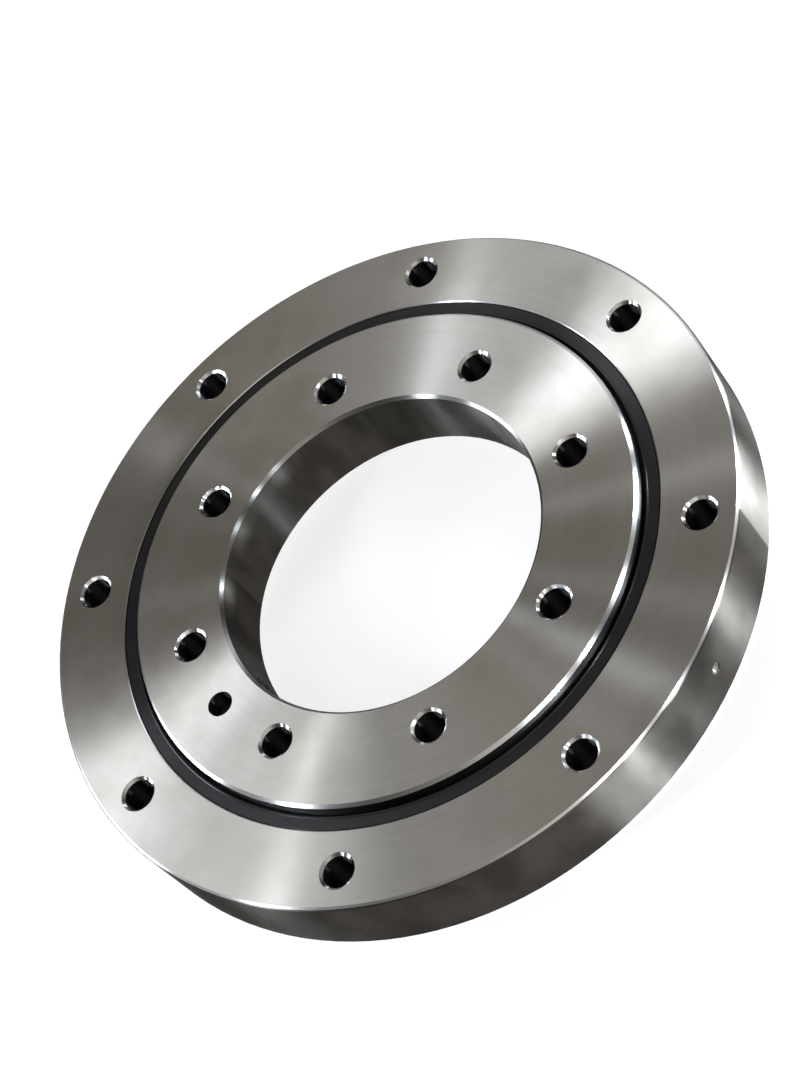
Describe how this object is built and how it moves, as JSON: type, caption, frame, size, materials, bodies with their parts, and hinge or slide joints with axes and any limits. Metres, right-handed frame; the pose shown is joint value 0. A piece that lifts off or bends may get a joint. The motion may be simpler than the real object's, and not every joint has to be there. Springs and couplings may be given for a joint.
{
  "type": "turntable bearing",
  "caption": "Flat slewing ring: the inner ring turns in the outer ring on crossed rollers, with bolt holes through both rings and black lip seals.",
  "frame": {"origin": "bottom centre, on the axis in the plane of the outer ring's lower face", "axes": "+Z along the bearing's axis, from the outer ring's lower face to the inner ring's raised face"},
  "size_m": [0.3, 0.3, 0.037],
  "materials": {
    "outer_ring_steel": "fine turned",
    "inner_ring_steel": "fine turned",
    "seal_rubber": "smooth black",
    "plug_steel": "turned",
    "pin_steel": "dark hardened",
    "nipple_steel": "plated",
    "roller_steel": "ground and polished",
    "spacer_plastic": "moulded"
  },
  "bodies": {
    "outer_ring": {"outer_ring": "outer_ring_steel", "seal_top": "seal_rubber", "grease_nipple": "nipple_steel"},
    "inner_ring": {"inner_ring": "inner_ring_steel", "seal_bottom": "seal_rubber", "filling_plug": "plug_steel", "plug_pin": "pin_steel"},
    "roller_row": {"spacers": "spacer_plastic"},
    "roller_01": {"roller_01": "roller_steel"},
    "roller_02": {"roller_02": "roller_steel"},
    "roller_03": {"roller_03": "roller_steel"},
    "roller_04": {"roller_04": "roller_steel"},
    "roller_05": {"roller_05": "roller_steel"},
    "roller_06": {"roller_06": "roller_steel"},
    "roller_07": {"roller_07": "roller_steel"},
    "roller_08": {"roller_08": "roller_steel"},
    "roller_09": {"roller_09": "roller_steel"},
    "roller_10": {"roller_10": "roller_steel"},
    "roller_11": {"roller_11": "roller_steel"},
    "roller_12": {"roller_12": "roller_steel"},
    "roller_13": {"roller_13": "roller_steel"},
    "roller_14": {"roller_14": "roller_steel"},
    "roller_15": {"roller_15": "roller_steel"},
    "roller_16": {"roller_16": "roller_steel"},
    "roller_17": {"roller_17": "roller_steel"},
    "roller_18": {"roller_18": "roller_steel"},
    "roller_19": {"roller_19": "roller_steel"},
    "roller_20": {"roller_20": "roller_steel"},
    "roller_21": {"roller_21": "roller_steel"},
    "roller_22": {"roller_22": "roller_steel"},
    "roller_23": {"roller_23": "roller_steel"},
    "roller_24": {"roller_24": "roller_steel"},
    "roller_25": {"roller_25": "roller_steel"},
    "roller_26": {"roller_26": "roller_steel"},
    "roller_27": {"roller_27": "roller_steel"},
    "roller_28": {"roller_28": "roller_steel"},
    "roller_29": {"roller_29": "roller_steel"},
    "roller_30": {"roller_30": "roller_steel"},
    "roller_31": {"roller_31": "roller_steel"},
    "roller_32": {"roller_32": "roller_steel"},
    "roller_33": {"roller_33": "roller_steel"},
    "roller_34": {"roller_34": "roller_steel"},
    "roller_35": {"roller_35": "roller_steel"},
    "roller_36": {"roller_36": "roller_steel"},
    "roller_37": {"roller_37": "roller_steel"},
    "roller_38": {"roller_38": "roller_steel"},
    "roller_39": {"roller_39": "roller_steel"},
    "roller_40": {"roller_40": "roller_steel"},
    "roller_41": {"roller_41": "roller_steel"},
    "roller_42": {"roller_42": "roller_steel"},
    "roller_43": {"roller_43": "roller_steel"},
    "roller_44": {"roller_44": "roller_steel"},
    "roller_45": {"roller_45": "roller_steel"},
    "roller_46": {"roller_46": "roller_steel"},
    "roller_47": {"roller_47": "roller_steel"},
    "roller_48": {"roller_48": "roller_steel"}
  },
  "joints": [
    {"name": "ring_turn", "type": "hinge", "parent": "outer_ring", "child": "inner_ring", "pos_m": [0, 0, 0.0185], "axis": [0, 0, 1], "continuous": true},
    {"name": "row_turn", "type": "hinge", "parent": "outer_ring", "child": "roller_row", "pos_m": [0, 0, 0.0185], "axis": [0, 0, 1], "continuous": true},
    {"name": "roller_01_spin", "type": "hinge", "parent": "roller_row", "child": "roller_01", "pos_m": [0.111, 0, 0.0185], "axis": [0.7071, 0, 0.7071], "continuous": true},
    {"name": "roller_02_spin", "type": "hinge", "parent": "roller_row", "child": "roller_02", "pos_m": [0.11005, 0.01449, 0.0185], "axis": [-0.7011, -0.0923, 0.7071], "continuous": true},
    {"name": "roller_03_spin", "type": "hinge", "parent": "roller_row", "child": "roller_03", "pos_m": [0.10722, 0.02873, 0.0185], "axis": [0.683, 0.183, 0.7071], "continuous": true},
    {"name": "roller_04_spin", "type": "hinge", "parent": "roller_row", "child": "roller_04", "pos_m": [0.10255, 0.04248, 0.0185], "axis": [-0.6533, -0.2706, 0.7071], "continuous": true},
    {"name": "roller_05_spin", "type": "hinge", "parent": "roller_row", "child": "roller_05", "pos_m": [0.09613, 0.0555, 0.0185], "axis": [0.6124, 0.3536, 0.7071], "continuous": true},
    {"name": "roller_06_spin", "type": "hinge", "parent": "roller_row", "child": "roller_06", "pos_m": [0.08806, 0.06757, 0.0185], "axis": [-0.561, -0.4305, 0.7071], "continuous": true},
    {"name": "roller_07_spin", "type": "hinge", "parent": "roller_row", "child": "roller_07", "pos_m": [0.07849, 0.07849, 0.0185], "axis": [0.5, 0.5, 0.7071], "continuous": true},
    {"name": "roller_08_spin", "type": "hinge", "parent": "roller_row", "child": "roller_08", "pos_m": [0.06757, 0.08806, 0.0185], "axis": [-0.4305, -0.561, 0.7071], "continuous": true},
    {"name": "roller_09_spin", "type": "hinge", "parent": "roller_row", "child": "roller_09", "pos_m": [0.0555, 0.09613, 0.0185], "axis": [0.3536, 0.6124, 0.7071], "continuous": true},
    {"name": "roller_10_spin", "type": "hinge", "parent": "roller_row", "child": "roller_10", "pos_m": [0.04248, 0.10255, 0.0185], "axis": [-0.2706, -0.6533, 0.7071], "continuous": true},
    {"name": "roller_11_spin", "type": "hinge", "parent": "roller_row", "child": "roller_11", "pos_m": [0.02873, 0.10722, 0.0185], "axis": [0.183, 0.683, 0.7071], "continuous": true},
    {"name": "roller_12_spin", "type": "hinge", "parent": "roller_row", "child": "roller_12", "pos_m": [0.01449, 0.11005, 0.0185], "axis": [-0.0923, -0.7011, 0.7071], "continuous": true},
    {"name": "roller_13_spin", "type": "hinge", "parent": "roller_row", "child": "roller_13", "pos_m": [0, 0.111, 0.0185], "axis": [0, 0.7071, 0.7071], "continuous": true},
    {"name": "roller_14_spin", "type": "hinge", "parent": "roller_row", "child": "roller_14", "pos_m": [-0.01449, 0.11005, 0.0185], "axis": [0.0923, -0.7011, 0.7071], "continuous": true},
    {"name": "roller_15_spin", "type": "hinge", "parent": "roller_row", "child": "roller_15", "pos_m": [-0.02873, 0.10722, 0.0185], "axis": [-0.183, 0.683, 0.7071], "continuous": true},
    {"name": "roller_16_spin", "type": "hinge", "parent": "roller_row", "child": "roller_16", "pos_m": [-0.04248, 0.10255, 0.0185], "axis": [0.2706, -0.6533, 0.7071], "continuous": true},
    {"name": "roller_17_spin", "type": "hinge", "parent": "roller_row", "child": "roller_17", "pos_m": [-0.0555, 0.09613, 0.0185], "axis": [-0.3536, 0.6124, 0.7071], "continuous": true},
    {"name": "roller_18_spin", "type": "hinge", "parent": "roller_row", "child": "roller_18", "pos_m": [-0.06757, 0.08806, 0.0185], "axis": [0.4305, -0.561, 0.7071], "continuous": true},
    {"name": "roller_19_spin", "type": "hinge", "parent": "roller_row", "child": "roller_19", "pos_m": [-0.07849, 0.07849, 0.0185], "axis": [-0.5, 0.5, 0.7071], "continuous": true},
    {"name": "roller_20_spin", "type": "hinge", "parent": "roller_row", "child": "roller_20", "pos_m": [-0.08806, 0.06757, 0.0185], "axis": [0.561, -0.4305, 0.7071], "continuous": true},
    {"name": "roller_21_spin", "type": "hinge", "parent": "roller_row", "child": "roller_21", "pos_m": [-0.09613, 0.0555, 0.0185], "axis": [-0.6124, 0.3536, 0.7071], "continuous": true},
    {"name": "roller_22_spin", "type": "hinge", "parent": "roller_row", "child": "roller_22", "pos_m": [-0.10255, 0.04248, 0.0185], "axis": [0.6533, -0.2706, 0.7071], "continuous": true},
    {"name": "roller_23_spin", "type": "hinge", "parent": "roller_row", "child": "roller_23", "pos_m": [-0.10722, 0.02873, 0.0185], "axis": [-0.683, 0.183, 0.7071], "continuous": true},
    {"name": "roller_24_spin", "type": "hinge", "parent": "roller_row", "child": "roller_24", "pos_m": [-0.11005, 0.01449, 0.0185], "axis": [0.7011, -0.0923, 0.7071], "continuous": true},
    {"name": "roller_25_spin", "type": "hinge", "parent": "roller_row", "child": "roller_25", "pos_m": [-0.111, 0, 0.0185], "axis": [-0.7071, 0, 0.7071], "continuous": true},
    {"name": "roller_26_spin", "type": "hinge", "parent": "roller_row", "child": "roller_26", "pos_m": [-0.11005, -0.01449, 0.0185], "axis": [0.7011, 0.0923, 0.7071], "continuous": true},
    {"name": "roller_27_spin", "type": "hinge", "parent": "roller_row", "child": "roller_27", "pos_m": [-0.10722, -0.02873, 0.0185], "axis": [-0.683, -0.183, 0.7071], "continuous": true},
    {"name": "roller_28_spin", "type": "hinge", "parent": "roller_row", "child": "roller_28", "pos_m": [-0.10255, -0.04248, 0.0185], "axis": [0.6533, 0.2706, 0.7071], "continuous": true},
    {"name": "roller_29_spin", "type": "hinge", "parent": "roller_row", "child": "roller_29", "pos_m": [-0.09613, -0.0555, 0.0185], "axis": [-0.6124, -0.3536, 0.7071], "continuous": true},
    {"name": "roller_30_spin", "type": "hinge", "parent": "roller_row", "child": "roller_30", "pos_m": [-0.08806, -0.06757, 0.0185], "axis": [0.561, 0.4305, 0.7071], "continuous": true},
    {"name": "roller_31_spin", "type": "hinge", "parent": "roller_row", "child": "roller_31", "pos_m": [-0.07849, -0.07849, 0.0185], "axis": [-0.5, -0.5, 0.7071], "continuous": true},
    {"name": "roller_32_spin", "type": "hinge", "parent": "roller_row", "child": "roller_32", "pos_m": [-0.06757, -0.08806, 0.0185], "axis": [0.4305, 0.561, 0.7071], "continuous": true},
    {"name": "roller_33_spin", "type": "hinge", "parent": "roller_row", "child": "roller_33", "pos_m": [-0.0555, -0.09613, 0.0185], "axis": [-0.3536, -0.6124, 0.7071], "continuous": true},
    {"name": "roller_34_spin", "type": "hinge", "parent": "roller_row", "child": "roller_34", "pos_m": [-0.04248, -0.10255, 0.0185], "axis": [0.2706, 0.6533, 0.7071], "continuous": true},
    {"name": "roller_35_spin", "type": "hinge", "parent": "roller_row", "child": "roller_35", "pos_m": [-0.02873, -0.10722, 0.0185], "axis": [-0.183, -0.683, 0.7071], "continuous": true},
    {"name": "roller_36_spin", "type": "hinge", "parent": "roller_row", "child": "roller_36", "pos_m": [-0.01449, -0.11005, 0.0185], "axis": [0.0923, 0.7011, 0.7071], "continuous": true},
    {"name": "roller_37_spin", "type": "hinge", "parent": "roller_row", "child": "roller_37", "pos_m": [0, -0.111, 0.0185], "axis": [0, -0.7071, 0.7071], "continuous": true},
    {"name": "roller_38_spin", "type": "hinge", "parent": "roller_row", "child": "roller_38", "pos_m": [0.01449, -0.11005, 0.0185], "axis": [-0.0923, 0.7011, 0.7071], "continuous": true},
    {"name": "roller_39_spin", "type": "hinge", "parent": "roller_row", "child": "roller_39", "pos_m": [0.02873, -0.10722, 0.0185], "axis": [0.183, -0.683, 0.7071], "continuous": true},
    {"name": "roller_40_spin", "type": "hinge", "parent": "roller_row", "child": "roller_40", "pos_m": [0.04248, -0.10255, 0.0185], "axis": [-0.2706, 0.6533, 0.7071], "continuous": true},
    {"name": "roller_41_spin", "type": "hinge", "parent": "roller_row", "child": "roller_41", "pos_m": [0.0555, -0.09613, 0.0185], "axis": [0.3536, -0.6124, 0.7071], "continuous": true},
    {"name": "roller_42_spin", "type": "hinge", "parent": "roller_row", "child": "roller_42", "pos_m": [0.06757, -0.08806, 0.0185], "axis": [-0.4305, 0.561, 0.7071], "continuous": true},
    {"name": "roller_43_spin", "type": "hinge", "parent": "roller_row", "child": "roller_43", "pos_m": [0.07849, -0.07849, 0.0185], "axis": [0.5, -0.5, 0.7071], "continuous": true},
    {"name": "roller_44_spin", "type": "hinge", "parent": "roller_row", "child": "roller_44", "pos_m": [0.08806, -0.06757, 0.0185], "axis": [-0.561, 0.4305, 0.7071], "continuous": true},
    {"name": "roller_45_spin", "type": "hinge", "parent": "roller_row", "child": "roller_45", "pos_m": [0.09613, -0.0555, 0.0185], "axis": [0.6124, -0.3536, 0.7071], "continuous": true},
    {"name": "roller_46_spin", "type": "hinge", "parent": "roller_row", "child": "roller_46", "pos_m": [0.10255, -0.04248, 0.0185], "axis": [-0.6533, 0.2706, 0.7071], "continuous": true},
    {"name": "roller_47_spin", "type": "hinge", "parent": "roller_row", "child": "roller_47", "pos_m": [0.10722, -0.02873, 0.0185], "axis": [0.683, -0.183, 0.7071], "continuous": true},
    {"name": "roller_48_spin", "type": "hinge", "parent": "roller_row", "child": "roller_48", "pos_m": [0.11005, -0.01449, 0.0185], "axis": [-0.7011, 0.0923, 0.7071], "continuous": true}
  ],
  "couplings": [
    {"joint": "row_turn", "follows": "ring_turn", "ratio": 0.48168},
    {"joint": "roller_01_spin", "follows": "ring_turn", "ratio": -9.6392},
    {"joint": "roller_02_spin", "follows": "ring_turn", "ratio": -9.6392},
    {"joint": "roller_03_spin", "follows": "ring_turn", "ratio": -9.6392},
    {"joint": "roller_04_spin", "follows": "ring_turn", "ratio": -9.6392},
    {"joint": "roller_05_spin", "follows": "ring_turn", "ratio": -9.6392},
    {"joint": "roller_06_spin", "follows": "ring_turn", "ratio": -9.6392},
    {"joint": "roller_07_spin", "follows": "ring_turn", "ratio": -9.6392},
    {"joint": "roller_08_spin", "follows": "ring_turn", "ratio": -9.6392},
    {"joint": "roller_09_spin", "follows": "ring_turn", "ratio": -9.6392},
    {"joint": "roller_10_spin", "follows": "ring_turn", "ratio": -9.6392},
    {"joint": "roller_11_spin", "follows": "ring_turn", "ratio": -9.6392},
    {"joint": "roller_12_spin", "follows": "ring_turn", "ratio": -9.6392},
    {"joint": "roller_13_spin", "follows": "ring_turn", "ratio": -9.6392},
    {"joint": "roller_14_spin", "follows": "ring_turn", "ratio": -9.6392},
    {"joint": "roller_15_spin", "follows": "ring_turn", "ratio": -9.6392},
    {"joint": "roller_16_spin", "follows": "ring_turn", "ratio": -9.6392},
    {"joint": "roller_17_spin", "follows": "ring_turn", "ratio": -9.6392},
    {"joint": "roller_18_spin", "follows": "ring_turn", "ratio": -9.6392},
    {"joint": "roller_19_spin", "follows": "ring_turn", "ratio": -9.6392},
    {"joint": "roller_20_spin", "follows": "ring_turn", "ratio": -9.6392},
    {"joint": "roller_21_spin", "follows": "ring_turn", "ratio": -9.6392},
    {"joint": "roller_22_spin", "follows": "ring_turn", "ratio": -9.6392},
    {"joint": "roller_23_spin", "follows": "ring_turn", "ratio": -9.6392},
    {"joint": "roller_24_spin", "follows": "ring_turn", "ratio": -9.6392},
    {"joint": "roller_25_spin", "follows": "ring_turn", "ratio": -9.6392},
    {"joint": "roller_26_spin", "follows": "ring_turn", "ratio": -9.6392},
    {"joint": "roller_27_spin", "follows": "ring_turn", "ratio": -9.6392},
    {"joint": "roller_28_spin", "follows": "ring_turn", "ratio": -9.6392},
    {"joint": "roller_29_spin", "follows": "ring_turn", "ratio": -9.6392},
    {"joint": "roller_30_spin", "follows": "ring_turn", "ratio": -9.6392},
    {"joint": "roller_31_spin", "follows": "ring_turn", "ratio": -9.6392},
    {"joint": "roller_32_spin", "follows": "ring_turn", "ratio": -9.6392},
    {"joint": "roller_33_spin", "follows": "ring_turn", "ratio": -9.6392},
    {"joint": "roller_34_spin", "follows": "ring_turn", "ratio": -9.6392},
    {"joint": "roller_35_spin", "follows": "ring_turn", "ratio": -9.6392},
    {"joint": "roller_36_spin", "follows": "ring_turn", "ratio": -9.6392},
    {"joint": "roller_37_spin", "follows": "ring_turn", "ratio": -9.6392},
    {"joint": "roller_38_spin", "follows": "ring_turn", "ratio": -9.6392},
    {"joint": "roller_39_spin", "follows": "ring_turn", "ratio": -9.6392},
    {"joint": "roller_40_spin", "follows": "ring_turn", "ratio": -9.6392},
    {"joint": "roller_41_spin", "follows": "ring_turn", "ratio": -9.6392},
    {"joint": "roller_42_spin", "follows": "ring_turn", "ratio": -9.6392},
    {"joint": "roller_43_spin", "follows": "ring_turn", "ratio": -9.6392},
    {"joint": "roller_44_spin", "follows": "ring_turn", "ratio": -9.6392},
    {"joint": "roller_45_spin", "follows": "ring_turn", "ratio": -9.6392},
    {"joint": "roller_46_spin", "follows": "ring_turn", "ratio": -9.6392},
    {"joint": "roller_47_spin", "follows": "ring_turn", "ratio": -9.6392},
    {"joint": "roller_48_spin", "follows": "ring_turn", "ratio": -9.6392}
  ]
}
